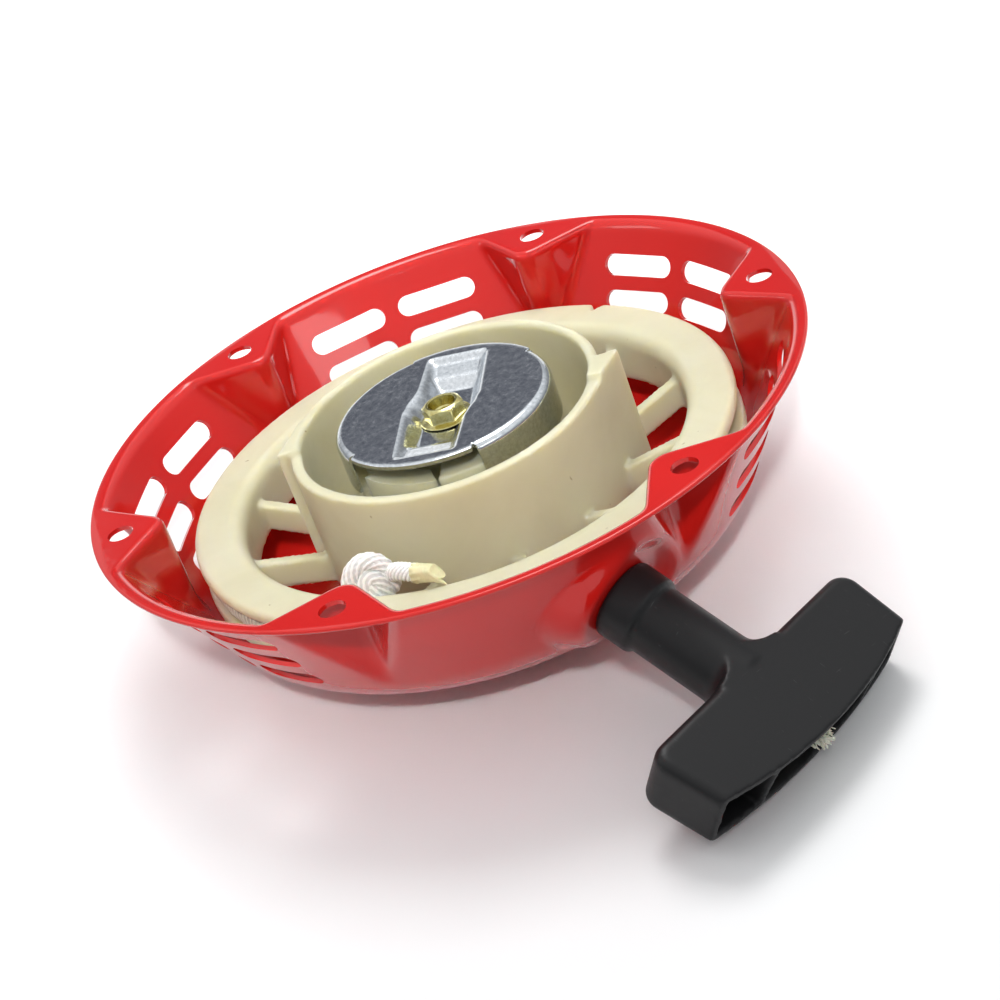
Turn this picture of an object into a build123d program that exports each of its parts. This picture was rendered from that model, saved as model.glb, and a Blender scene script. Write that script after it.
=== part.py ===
from build123d import *
import os
from math import acos, atan, atan2, cos, degrees, hypot, radians, sin, tan

# Recoil starter of a small horizontal-shaft engine, in millimetres.
# Z is the reel's axis, +Z points to the engine, and Z = 0 is the face that bolts to the engine.
# The origin is the centre of the six mounting holes, and +X goes through one of them.

# ---------------------------------------------------------------- driving dimensions
STAND = (Align.CENTER, Align.CENTER, Align.MIN)     # a solid stands on its plane
SHEET = 1.2                  # thickness of the pressed-steel housing
RIM_R = 97.0                 # outside of the mounting rim
WALL_TOP_R = 94.5            # outside of the side wall where it meets the rim
FLOOR_Z = -46.0              # outside of the closed end
FLOOR_CORNER_R = 69.0        # where the side wall's line would meet the closed end
FLOOR_FILLET = 27.0          # large bend between side wall and closed end

HOLE_COUNT = 6
BOLT_CIRCLE_R = 89.0
HOLE_R = 3.5
BOSS_APEX_R = 76.0           # sharp tip of each triangular boss, before rounding
BOSS_HALF_ANGLE = 48.4       # half of the angle at that tip, degrees
BOSS_TIP_FILLET = 5.0

SLOT_ROWS_Z = (-11.4, -20.2, -29.0)
SLOT_COLUMNS = (-9.0, 9.0)   # degrees from the middle of a bay
SLOT_SPAN = 15.0             # degrees
SLOT_HEIGHT = 6.0
GRIP_BAY = -30.0             # the bay that has no slots, degrees

SEAT = Vector(77.5, -22.0, -26.0)   # middle of the flat seat that the grip rests on
PULL_AZIMUTH = 5.0           # direction of the pull, degrees from +X
PULL_DIP = 30.0              # how far the pull points away from the engine, degrees
SEAT_R = 13.0
SEAT_SKIRT = 7.0             # how far the seat's sloping edge spreads
SEAT_DEPTH = 14.0            # and how deep it goes
GRIP_ROLL = -3.0             # the grip hangs slightly turned on its rope, degrees

POST_R = 7.0
POST_STEP_R = 5.0
POST_FOOT_R = 12.0
POST_FOOT_T = 1.5
POST_SHOULDER_Z = -13.0
POST_TOP_Z = -3.9
RUNNING_GAP = 0.05           # radial clearance of every running fit

BOLT_R = 3.0
BOLT_END_Z = -22.0
BOLT_FLANGE_R = 7.0
BOLT_FLANGE_T = 1.1
BOLT_HEX = 10.0              # across the flats
BOLT_TOP_Z = 0.6
BOLT_DISH = 2.0              # depth of the hollow in the head
BOLT_DISH_LOW_R = 2.6
BOLT_DISH_TOP_R = 3.2
BOLT_TURN = 12.0

WASHER_R = 11.0
WASHER_T = 1.0
DRAG_SPRING_R = 8.0          # friction spring, to the middle of the wire
DRAG_WIRE_R = 0.6
DRAG_TURNS = 3
SPRING_END_GAP = 0.1

SPRING_INNER_R = 15.5        # recoil spring
SPRING_OUTER_R = 36.5
SPRING_TURNS = 7
SPRING_STRIP = 0.6
SPRING_BOTTOM_Z = FLOOR_Z + SHEET + 0.6
SPRING_HEIGHT = 9.0
SPRING_ANCHOR_R = 38.0
SPRING_ANCHOR_AZIMUTH = 200.0
ANCHOR_WIDTH = 4.0

BUSH_TUBE_R = 5.0
BUSH_BORE_R = 2.9
BUSH_FLANGE_R = 7.8
BUSH_FLANGE_T = 1.2
BUSH_INNER_FLANGE_R = 6.6
BUSH_INNER_FLANGE_T = 2.0
BUSH_MOUTH_FILLET = 1.8      # where the rope bends round the eyelet

RING_R = 74.0
RING_INNER_R = 60.5
RING_TOP_Z = -15.0
RING_BOTTOM_Z = -30.0
RING_OUTER_FILLET = 1.4
RING_INNER_FILLET = 4.0
RING_LOW_CHAMFER = 2.0       # clears the seat's inside
GROOVE_TOP_Z = -18.2
GROOVE_BOTTOM_Z = -24.4
GROOVE_CORE_R = 62.5
SKIRT_R = 42.0               # outside of the tall wall round the ratchet
SKIRT_T = 3.0
SKIRT_BOTTOM_Z = -43.0
WEB_TOP_Z = -30.0
WEB_BOTTOM_Z = -33.0
SPOKE_COUNT = 12
SPOKE_START = 3.5            # azimuth of one spoke, degrees
SPOKE_T = 3.5
SPOKE_H = 8.0
SPOKE_RING_Z = -20.5         # top of a spoke at the ring
SPOKE_WALL_Z = -26.8         # and at the tall wall, because the spokes slope
WINGS = ((50.4, 47.8), (230.5, 45.6))   # azimuth and tip radius of the tall wall's pointed corners
FRONT_STEP = 1.5             # half of the tall wall is this much lower
HUB_R = 13.0
DRUM_R = 27.5
DRUM_TOP_Z = -6.0
NOTCH_AZIMUTH = 104.0        # a V-shaped notch in the ring's outer edge

PAWL_PIVOT_R = 20.0
PAWL_PIVOT_AZIMUTH = -106.0
PAWL_TIP_AZIMUTH = -50.0
PAWL_TIP_GAP = 1.2           # between the tip and the end of its pocket, degrees
PAWL_OUTER_R = 27.2
PAWL_INNER_R = 19.5
PAWL_TOP_Z = -6.6
PAWL_BOTTOM_Z = -13.2
PAWL_PIN_R = 2.5
PAWL_HEEL_R = 5.0
PAWL_FLOOR_Z = -16.0

GUIDE_R = 29.4
GUIDE_T = 1.0
GUIDE_TOP_Z = 0.5
GUIDE_RECESS = 4.5
GUIDE_FLANGE_Z = -10.0
GUIDE_FLANGE_START = -24.0   # azimuth where one bent-down edge begins, degrees
GUIDE_FLANGE_SPAN = 102.0

ROPE_R = 2.0
ROPE_Z = (GROOVE_TOP_Z + GROOVE_BOTTOM_Z) / 2
ROPE_PITCH = 4.1
ROPE_HOLE_R = 2.6            # hole in the ring that the knot pulls against
ROPE_SLACK = 0.3             # round the rope, inside the grip
ROPE_FIRST_R = 64.85         # innermost half turn
ROPE_HALF_TURNS = 4
ROPE_BEND_DEPTH = 9.0        # how far inside the seat the rope turns towards the pull
KNOT_AZIMUTH = -68.5
GRIP_KNOT_R = 5.6
GRIP_KNOT_LENGTH = 8.4
FRAY_LENGTH = 8.5            # loose strands past the knot in the grip
FRAY_R = 1.6
ROPE_JOIN = -3.0             # where the run inside the housing meets the run in the grip
ROPE_IN_GRIP = 9.7           # how far the rope's straight run reaches into the crossbar

GRIP_LENGTH = 75.0           # across the crossbar, at its outer edge
GRIP_NECK_LENGTH = 79.0      # and at its edge towards the neck
GRIP_THICK = 17.0
GRIP_REACH = 35.8            # from the seat to the crossbar
GRIP_END_DEPTH = 20.0
GRIP_MID_DEPTH = 25.8        # in the middle, on the side that faces the engine
GRIP_LOW_DEPTH = 23.3        # in the middle, on the other side
GRIP_FLARE = 5.0             # where the neck spreads into the crossbar
GRIP_CORNER = 5.0
GRIP_EDGE_FILLET = 2.5
SIDE_FLOOR = 7.0             # floors of the crossbar's hollows, from its edge towards the neck
MIDDLE_FLOOR = 9.5
DIVIDER_X = 20.5             # ribs in the crossbar's hollow
DIVIDER_T = 2.0
COLLAR_R = 10.1
COLLAR_LENGTH = 9.5
COLLAR_FILLET = 1.0
FLANGE_SLACK = 0.25          # round the bush's flange, inside the collar
NECK_R = 8.9
GRIP_WALL = 2.2

# ---------------------------------------------------------------- shared helpers
pull = Vector(cos(radians(PULL_DIP)) * cos(radians(PULL_AZIMUTH)),
              cos(radians(PULL_DIP)) * sin(radians(PULL_AZIMUTH)),
              -sin(radians(PULL_DIP)))
across = Vector(-sin(radians(PULL_AZIMUTH)), cos(radians(PULL_AZIMUTH)), 0)
seat_plane = Plane(origin=SEAT, x_dir=across, z_dir=pull)     # local Z runs along the pull
wall_slope = degrees(atan((WALL_TOP_R - FLOOR_CORNER_R) / -FLOOR_Z))


def polar(radius, azimuth, z=0.0):
    """A point given by its radius and azimuth about the reel's axis."""
    return (radius * cos(radians(azimuth)), radius * sin(radians(azimuth)), z)


def tube(outer, inner, bottom, top):
    """A plain ring about the reel's axis."""
    ring = Cylinder(outer, top - bottom, align=STAND)
    if inner:
        ring -= Cylinder(inner, top - bottom, align=STAND)
    return Pos(0, 0, bottom) * ring


def sector(outer, inner, start, end, bottom, top):
    """A piece of a ring between two azimuths."""
    middle = (start + end) / 2
    outline = Polyline(polar(inner, start), polar(outer, start)) \
        + ThreePointArc(polar(outer, start), polar(outer, middle), polar(outer, end)) \
        + Polyline(polar(outer, end), polar(inner, end)) \
        + ThreePointArc(polar(inner, end), polar(inner, middle), polar(inner, start))
    return Pos(0, 0, bottom) * extrude(make_face(outline), top - bottom)


# ---------------------------------------------------------------- housing
def filled_cup(inset):
    """The cup without its hollow, inset by a distance from the outside."""
    shift = inset / cos(radians(wall_slope))
    floor = FLOOR_Z + inset
    corner = FLOOR_CORNER_R - shift + inset * tan(radians(wall_slope))
    outline = [(0, 0, floor), (corner, 0, floor), (WALL_TOP_R - shift, 0, 0), (0, 0, 0)]
    profile = make_face(Polyline(*outline, close=True))
    bend = profile.vertices().sort_by_distance((corner, 0, floor))[0]
    profile = fillet(bend, FLOOR_FILLET - inset)
    return revolve(profile, Axis.Z)


def boss_prism(inset, top):
    """A triangular column whose rounded tip points at the reel's axis."""
    apex = BOSS_APEX_R + (SHEET - inset) / sin(radians(BOSS_HALF_ANGLE))
    reach = RIM_R - BOSS_APEX_R
    half = reach * tan(radians(BOSS_HALF_ANGLE))
    outline = make_face(Polyline((apex, 0), (apex + reach, half), (apex + reach, -half), close=True))
    tip = outline.vertices().sort_by(Axis.X)[0]
    outline = fillet(tip, BOSS_TIP_FILLET - (SHEET - inset))
    return Pos(0, 0, FLOOR_Z - 5) * extrude(outline, top - FLOOR_Z + 5)


def seat_form(solid, inset):
    """Adds the seat's raised side and flattens what stands above the seat."""
    top_r = SEAT_R - inset * 0.6
    low_disc = seat_plane.offset(-SEAT_DEPTH) * Circle(top_r + SEAT_SKIRT)
    pad = loft([low_disc, seat_plane.offset(-inset) * Circle(top_r)])
    clear = seat_plane.offset(-inset) * Cylinder(SEAT_R + inset, 20, align=STAND)
    below = Pos(0, 0, 5) * Cylinder(WALL_TOP_R + 20, 10, align=STAND)
    return (solid + pad) - clear - below


def vent_slots():
    """Two columns and three rows of slots in every bay but the grip's."""
    cutters = []
    for bay in range(HOLE_COUNT):
        middle = GRIP_BAY + 60 * bay
        if bay == 0:
            continue
        for column in SLOT_COLUMNS:
            for z in SLOT_ROWS_Z:
                radius = WALL_TOP_R + z * tan(radians(wall_slope))
                azimuth = middle + column
                normal = polar(cos(radians(wall_slope)), azimuth, -sin(radians(wall_slope)))
                side = polar(1, azimuth + 90)
                place = Plane(origin=polar(radius, azimuth, z), x_dir=side, z_dir=normal)
                length = 2 * radius * sin(radians(SLOT_SPAN / 2))
                cutters.append(place * extrude(SlotOverall(length, SLOT_HEIGHT), 4, both=True))
    return cutters


def make_housing():
    outside = filled_cup(0)
    inside = filled_cup(SHEET)
    outside = seat_form(outside, 0)
    inside = seat_form(inside, SHEET)
    for k in range(HOLE_COUNT):
        turn = Rot(0, 0, 60 * k)
        outside -= turn * boss_prism(0, -SHEET)
        inside -= turn * boss_prism(SHEET, 0)
    shell = outside - inside
    shell += tube(RIM_R, WALL_TOP_R - 2.0, -SHEET, 0)
    for k in range(HOLE_COUNT):
        shell -= Rot(0, 0, 60 * k) * Pos(BOLT_CIRCLE_R, 0, -SHEET) * Cylinder(HOLE_R, 6)
    shell -= vent_slots()
    shell -= seat_plane * Cylinder(BUSH_TUBE_R, 12)
    tab = Box(SHEET, ANCHOR_WIDTH, SPRING_HEIGHT, align=STAND)
    place = Pos(*polar(SPRING_ANCHOR_R, SPRING_ANCHOR_AZIMUTH, FLOOR_Z + SHEET / 2))
    return shell + place * Rot(0, 0, SPRING_ANCHOR_AZIMUTH) * tab


# ---------------------------------------------------------------- fixed pieces on the post
def make_centre_post():
    post = tube(POST_FOOT_R, 0, FLOOR_Z + SHEET, FLOOR_Z + SHEET + POST_FOOT_T)
    post += tube(POST_R, 0, FLOOR_Z + SHEET, POST_SHOULDER_Z)
    post += tube(POST_STEP_R, 0, POST_SHOULDER_Z, POST_TOP_Z)
    return post - tube(BOLT_R, 0, BOLT_END_Z - 1, POST_TOP_Z)


def make_set_bolt():
    bolt = tube(BOLT_R, 0, BOLT_END_Z, POST_TOP_Z)
    bolt += tube(BOLT_FLANGE_R, 0, POST_TOP_Z, POST_TOP_Z + BOLT_FLANGE_T)
    hexagon = RegularPolygon(BOLT_HEX / 2, 6, major_radius=False)
    head = extrude(hexagon, BOLT_TOP_Z - POST_TOP_Z - BOLT_FLANGE_T)
    bolt += Pos(0, 0, POST_TOP_Z + BOLT_FLANGE_T) * Rot(0, 0, BOLT_TURN) * head
    dish = Cone(BOLT_DISH_LOW_R, BOLT_DISH_TOP_R, BOLT_DISH, align=STAND)
    return bolt - Pos(0, 0, BOLT_TOP_Z - BOLT_DISH) * dish


def make_thrust_washer():
    return tube(WASHER_R, POST_STEP_R + RUNNING_GAP, POST_SHOULDER_Z, POST_SHOULDER_Z + WASHER_T)


def coil_spring(mean_r, wire_r, bottom, top, turns):
    """A round-wire spring about Z."""
    height = top - bottom - 2 * wire_r
    path = Helix(pitch=height / turns, height=height, radius=mean_r)
    start = path @ 0
    section = Plane(origin=start, z_dir=path % 0) * Circle(wire_r)
    return Pos(0, 0, bottom + wire_r) * sweep(section, path, is_frenet=True)


def make_friction_spring():
    bottom = POST_SHOULDER_Z + WASHER_T + SPRING_END_GAP
    top = GUIDE_TOP_Z - GUIDE_T - GUIDE_RECESS - SPRING_END_GAP
    return coil_spring(DRAG_SPRING_R, DRAG_WIRE_R, bottom, top, DRAG_TURNS)


def make_recoil_spring():
    """A flat strip wound in a spiral, with a short hook at its outer end."""
    steps = SPRING_TURNS * 12
    growth = (SPRING_OUTER_R - SPRING_INNER_R) / steps
    first = SPRING_ANCHOR_AZIMUTH - 8 - 360 * SPRING_TURNS
    rows = []
    for start_r in (SPRING_INNER_R, SPRING_INNER_R + SPRING_STRIP):
        rows.append([polar(start_r + growth * k, first + 30 * k) for k in range(steps + 1)])
    inner, outer = Spline(*rows[0]), Spline(*rows[1])
    ends = Line(rows[0][0], rows[1][0]) + Line(rows[0][-1], rows[1][-1])
    return Pos(0, 0, SPRING_BOTTOM_Z) * extrude(make_face(inner + outer + ends), SPRING_HEIGHT)


def make_rope_guide_bush():
    """The eyelet in the seat, clamped on both sides of the sheet and rounded where the rope bends."""
    low = -SHEET - BUSH_INNER_FLANGE_T
    profile = Polyline((BUSH_BORE_R, 0, low), (BUSH_INNER_FLANGE_R, 0, low),
                       (BUSH_INNER_FLANGE_R, 0, -SHEET), (BUSH_TUBE_R, 0, -SHEET),
                       (BUSH_TUBE_R, 0, 0), (BUSH_FLANGE_R, 0, 0),
                       (BUSH_FLANGE_R, 0, BUSH_FLANGE_T), (BUSH_BORE_R, 0, BUSH_FLANGE_T), close=True)
    body = revolve(make_face(profile), Axis.Z)
    mouths = [e for e in body.edges().filter_by(GeomType.CIRCLE) if abs(e.radius - BUSH_BORE_R) < 1e-6]
    body = fillet([e for e in mouths if e.center().Z < 0], BUSH_MOUTH_FILLET)
    return seat_plane * body


# ---------------------------------------------------------------- reel
# The reel is one moulding, kept as four touching pieces: ring, tall wall, spokes and drum.
def wing(azimuth, tip):
    """A pointed corner that grows out of the tall wall and ends square."""
    angle = degrees(acos(SKIRT_R / tip))
    tangent = polar(SKIRT_R, azimuth - angle)
    outline = make_face(Polyline(tangent, polar(tip, azimuth), polar(SKIRT_R - 1.5, azimuth),
                                 polar(SKIRT_R - 1.5, azimuth - angle), close=True))
    return Pos(0, 0, WEB_BOTTOM_Z) * extrude(outline, -WEB_BOTTOM_Z)


def pawl_pocket(turn):
    cut = sector(DRUM_R + 5, 14.6, PAWL_PIVOT_AZIMUTH - 17, PAWL_TIP_AZIMUTH + PAWL_TIP_GAP, PAWL_FLOOR_Z, 1)
    return Rot(0, 0, turn) * cut


def pawl_pin(turn):
    x, y, _ = polar(PAWL_PIVOT_R, PAWL_PIVOT_AZIMUTH + turn)
    return Pos(x, y, 0) * tube(PAWL_PIN_R, 0, PAWL_FLOOR_Z, PAWL_TOP_Z + 0.3)


def make_reel_ring():
    """The rope's groove, with its rounded top."""
    ring = tube(RING_R, RING_INNER_R, RING_BOTTOM_Z, RING_TOP_Z)
    top = ring.edges().filter_by(GeomType.CIRCLE).group_by(Axis.Z)[-1].sort_by(SortBy.RADIUS)
    ring = fillet(top[-1], RING_OUTER_FILLET)
    top = ring.edges().filter_by(GeomType.CIRCLE).group_by(Axis.Z)[-1].sort_by(SortBy.RADIUS)
    ring = fillet(top[0], RING_INNER_FILLET)
    lowest = ring.edges().filter_by(GeomType.CIRCLE).group_by(Axis.Z)[0].sort_by(SortBy.RADIUS)[-1]
    ring = chamfer(lowest, RING_LOW_CHAMFER)
    ring -= tube(RING_R + 1, GROOVE_CORE_R, GROOVE_BOTTOM_Z, GROOVE_TOP_Z)
    ring -= Rot(0, 0, KNOT_AZIMUTH) * Pos(RING_INNER_R, 0, ROPE_Z) * Rot(0, 90, 0) * Cylinder(ROPE_HOLE_R, 8)
    notch = make_face(Polyline((RING_R - 5, 0), (RING_R + 1, 2.6), (RING_R + 1, -2.6), close=True))
    return ring - Rot(0, 0, NOTCH_AZIMUTH) * Pos(0, 0, GROOVE_TOP_Z) * extrude(notch, 10)


def make_reel_wall():
    wall = tube(SKIRT_R, SKIRT_R - SKIRT_T, SKIRT_BOTTOM_Z, 0)
    wall = fillet(wall.edges().filter_by(GeomType.CIRCLE).group_by(Axis.Z)[-1], 1.2)
    for azimuth, tip in WINGS:
        wall += wing(azimuth, tip)
    low_end = WINGS[0][0] - 14
    return wall - sector(WINGS[0][1] + 2, SKIRT_R - SKIRT_T - 1, low_end - 166, low_end, -FRONT_STEP, 1)


def make_reel_drum():
    """The middle of the reel: bearing, floor, and the drum that holds the dogs."""
    hub = tube(HUB_R, 0, SKIRT_BOTTOM_Z, WEB_TOP_Z)
    hub += tube(SKIRT_R - SKIRT_T, 0, WEB_BOTTOM_Z, WEB_TOP_Z)
    hub += tube(DRUM_R, 0, WEB_BOTTOM_Z, DRUM_TOP_Z)
    for turn in (0, 180):
        hub -= pawl_pocket(turn)
        hub += pawl_pin(turn)
    hub -= tube(WASHER_R + 1.2, 0, POST_SHOULDER_Z - 0.2, 1)
    return hub - tube(POST_R + RUNNING_GAP, 0, SKIRT_BOTTOM_Z - 1, 1)


def make_reel_spokes():
    """Sloping bars from the tall wall up to the ring, cut to the two round faces that they meet."""
    run = RING_INNER_R - SKIRT_R
    slope = (SPOKE_RING_Z - SPOKE_WALL_Z) / run
    ends = (SKIRT_R - 2, RING_INNER_R + 2)
    tops = [SPOKE_WALL_Z + slope * (x - SKIRT_R) for x in ends]
    side = make_face(Polyline((ends[0], 0, tops[0]), (ends[1], 0, tops[1]), (ends[1], 0, tops[1] - SPOKE_H),
                              (ends[0], 0, tops[0] - SPOKE_H), close=True))
    bar = extrude(side, SPOKE_T / 2, both=True) & tube(RING_INNER_R, SKIRT_R, SKIRT_BOTTOM_Z, 0)
    bars = []
    for k in range(SPOKE_COUNT):
        turned = Rot(0, 0, SPOKE_START + 360 * k / SPOKE_COUNT) * bar
        for azimuth, tip in WINGS:
            turned = turned - wing(azimuth, tip)
        bars.append(turned.solid())
    return Compound(bars)


# ---------------------------------------------------------------- ratchet
def make_pawl(turn):
    """A curved dog: round about its pin, hugging the drum, with a square driving tip."""
    middle = (PAWL_PIVOT_AZIMUTH + PAWL_TIP_AZIMUTH) / 2
    heel_outer = polar(PAWL_OUTER_R, PAWL_PIVOT_AZIMUTH + 6)
    heel_inner = polar(PAWL_INNER_R - 2.5, PAWL_PIVOT_AZIMUTH + 10)
    tip_outer = polar(PAWL_OUTER_R, PAWL_TIP_AZIMUTH)
    tip_inner = polar(PAWL_INNER_R + 1.5, PAWL_TIP_AZIMUTH - 7)
    outline = ThreePointArc(heel_outer, polar(PAWL_OUTER_R, middle), tip_outer)
    outline += Line(tip_outer, tip_inner)
    outline += ThreePointArc(tip_inner, polar(PAWL_INNER_R, middle + 4), heel_inner)
    outline += Line(heel_inner, heel_outer)
    blade = extrude(make_face(outline), PAWL_TOP_Z - PAWL_BOTTOM_Z)
    x, y, _ = polar(PAWL_PIVOT_R, PAWL_PIVOT_AZIMUTH)
    blade += Pos(x, y, 0) * tube(PAWL_HEEL_R, 0, 0, PAWL_TOP_Z - PAWL_BOTTOM_Z)
    blade -= Pos(x, y, 0) * tube(PAWL_PIN_R + RUNNING_GAP, 0, -1, 12)
    return Rot(0, 0, turn) * Pos(0, 0, PAWL_BOTTOM_Z) * blade


def make_pawl_spring(turn):
    """A hairpin spring round the foot of the pawl's pin: two turns of wire and a leg under the pawl."""
    x, y, _ = polar(PAWL_PIVOT_R, PAWL_PIVOT_AZIMUTH)
    wire_r, coil_r = 0.4, 3.2
    low = PAWL_FLOOR_Z + 0.5
    spring = Pos(0, 0, low) * Torus(coil_r, wire_r) + Pos(0, 0, low + 1.6 * wire_r) * Torus(coil_r, wire_r)
    leg = Plane(origin=(coil_r, 0, low + 1.6 * wire_r), z_dir=(0, 1, 0)) * Cylinder(
        wire_r, 9.0, align=STAND)
    return Rot(0, 0, turn) * Pos(x, y, 0) * Rot(0, 0, PAWL_PIVOT_AZIMUTH) * (spring + leg)


def z_channel(grow):
    """The Z-shaped channel pressed into the ratchet guide, the same both ways round."""
    half = [(-21.5, 14.8), (-8.0, 24.9), (6.6, 8.3), (11.5, -2.0)]
    other = [(-x, -y) for x, y in half]
    face = make_face(Polyline(*half, *other, close=True)) + Circle(9.6)
    return offset(fillet(face.vertices(), 1.2), grow)


def make_ratchet_guide():
    plate_bottom = GUIDE_TOP_Z - GUIDE_T
    plate = tube(GUIDE_R, 0, plate_bottom, GUIDE_TOP_Z)
    pan_top = GUIDE_TOP_Z - 0.01
    pan_depth = GUIDE_RECESS + GUIDE_T - 0.01
    pan = Pos(0, 0, pan_top) * extrude(z_channel(GUIDE_T * 0.9), -pan_depth, taper=25)
    hollow = Pos(0, 0, GUIDE_TOP_Z) * extrude(z_channel(0), -GUIDE_RECESS, taper=25)
    guide = plate + pan - hollow
    for k in (0, 180):
        start = GUIDE_FLANGE_START + k
        guide += sector(GUIDE_R, GUIDE_R - GUIDE_T, start, start + GUIDE_FLANGE_SPAN,
                        GUIDE_FLANGE_Z, GUIDE_TOP_Z)
    return guide - tube(POST_STEP_R + RUNNING_GAP, 0, GUIDE_FLANGE_Z - 1, 5)


# ---------------------------------------------------------------- rope
def rope_sweep(path):
    section = Plane(origin=path @ 0, z_dir=path % 0) * Circle(ROPE_R)
    return sweep(section, path, transition=Transition.ROUND)


def coil_end():
    """Centre of the rope where the outermost half turn ends, in the coil's own frame."""
    return coil_half_turns()[-1] @ 1


def coil_half_turns():
    """Half circles of growing radius, each starting where the last one ended."""
    arcs = []
    point = Vector(-ROPE_FIRST_R, 0, 0)
    side = 1
    for k in range(ROPE_HALF_TURNS):
        radius = ROPE_FIRST_R + k * ROPE_PITCH / 2
        centre = point + Vector(side * radius, 0, 0)
        end = centre + Vector(side * radius, 0, 0)
        middle = centre + Vector(0, -side * radius, 0)
        arcs.append(ThreePointArc(point, middle, end))
        point = end
        side = -side
    return arcs


def bend_point():
    """Where the rope turns from the reel's tangent towards the pull."""
    return SEAT - pull * ROPE_BEND_DEPTH


def coil_turn():
    """Turns the coil so that the rope leaves it on a tangent through the bend."""
    end, bend = coil_end(), bend_point()
    leaves = degrees(atan2(bend.Y, bend.X)) - degrees(acos(hypot(end.X, end.Y) / hypot(bend.X, bend.Y)))
    return leaves - degrees(atan2(end.Y, end.X))


def make_rope_coil():
    arcs = coil_half_turns()
    path = arcs[0]
    for arc in arcs[1:]:
        path = path + arc
    section = Plane(origin=arcs[0] @ 0, z_dir=arcs[0] % 0) * Circle(ROPE_R)
    return Pos(0, 0, ROPE_Z) * Rot(0, 0, coil_turn()) * sweep(section, Wire(path.edges()))


def make_rope_lead():
    """From the reel, through the bend in the bush, to the seat."""
    leave = (Rot(0, 0, coil_turn()) * Vertex(*coil_end())).center() + Vector(0, 0, ROPE_Z)
    bend = bend_point()
    stop = SEAT + pull * ROPE_JOIN
    direction = (bend - leave).normalized()
    path = FilletPolyline(leave + direction * 0.3, bend, stop, radius=8.0)
    return rope_sweep(path)


def make_pull_rope():
    """From the bush to the knot inside the grip."""
    length = GRIP_REACH + ROPE_IN_GRIP - ROPE_JOIN
    return seat_plane.offset(ROPE_JOIN) * Cylinder(ROPE_R, length, align=STAND)


def make_reel_rope_knot():
    knot = Pos(53.6, 0, -14.5) * Sphere(6.4)
    stub = Pos(58.0, 0, ROPE_Z) * Rot(0, 90, 0) * Cylinder(ROPE_R, 8.6)
    riser = Pos(53.7, 0, ROPE_Z - ROPE_R) * Cylinder(ROPE_R, 6, align=STAND)
    return Rot(0, 0, KNOT_AZIMUTH) * (knot + stub + riser)


def make_rope_tail():
    start = Vector(*polar(58.6, KNOT_AZIMUTH + 7.4, -12.4))
    end = Vector(*polar(61.0, KNOT_AZIMUTH + 22, -12.6))
    direction = (end - start).normalized()
    return Plane(origin=start, z_dir=direction) * Cylinder(
        2.2, (end - start).length, align=STAND)


def make_grip_rope_knot():
    knot = Cylinder(GRIP_KNOT_R, GRIP_KNOT_LENGTH)
    knot = fillet(knot.edges().filter_by(GeomType.CIRCLE), 3.4)
    return grip_place() * Pos(0, 0, GRIP_REACH + ROPE_IN_GRIP + GRIP_KNOT_LENGTH / 2 + 0.1) * knot


def make_rope_frayed_end():
    """Loose strands past the grip's knot, leaning on the hollow's upper wall."""
    start = GRIP_REACH + ROPE_IN_GRIP + GRIP_KNOT_LENGTH + 1.0
    cone = Cone(FRAY_R, 1.6 * FRAY_R, FRAY_LENGTH, align=STAND)
    return grip_place() * Pos(-2.0, 1.4, start) * Rot(-14, -8, 0) * cone


# ---------------------------------------------------------------- grip
def grip_place():
    """Local Z runs along the pull from the seat, local X along the crossbar."""
    return seat_plane.location * Rot(0, 0, GRIP_ROLL)


def crossbar_face(side, mid_depth):
    """The crossbar face on, on one side: a straight edge towards the neck and an arched outer edge."""
    half, neck_half = GRIP_LENGTH / 2, GRIP_NECK_LENGTH / 2
    end_z = GRIP_REACH + GRIP_END_DEPTH
    outer = ThreePointArc((half, 0, end_z), (0, 0, GRIP_REACH + mid_depth), (-half, 0, end_z))
    sides = Polyline((-half, 0, end_z), (-neck_half, 0, GRIP_REACH),
                     (neck_half, 0, GRIP_REACH), (half, 0, end_z))
    return Pos(0, side * GRIP_THICK / 2, 0) * make_face(outer + sides)


def neck_flare():
    """A concave round corner all round the neck, no thicker than the crossbar."""
    r = GRIP_FLARE
    centre_x, low = NECK_R + r, GRIP_REACH - r
    arc = ThreePointArc((NECK_R, 0, low), (centre_x - r * cos(radians(45)), 0, low + r * sin(radians(45))),
                        (centre_x, 0, GRIP_REACH))
    rest = Polyline((centre_x, 0, GRIP_REACH), (centre_x, 0, GRIP_REACH + 2),
                    (0, 0, GRIP_REACH + 2), (0, 0, low), (NECK_R, 0, low))
    flare = revolve(make_face(arc + rest), Axis.Z)
    return flare & Pos(0, 0, GRIP_REACH) * Box(6 * NECK_R, GRIP_THICK, 4 * r)


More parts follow.
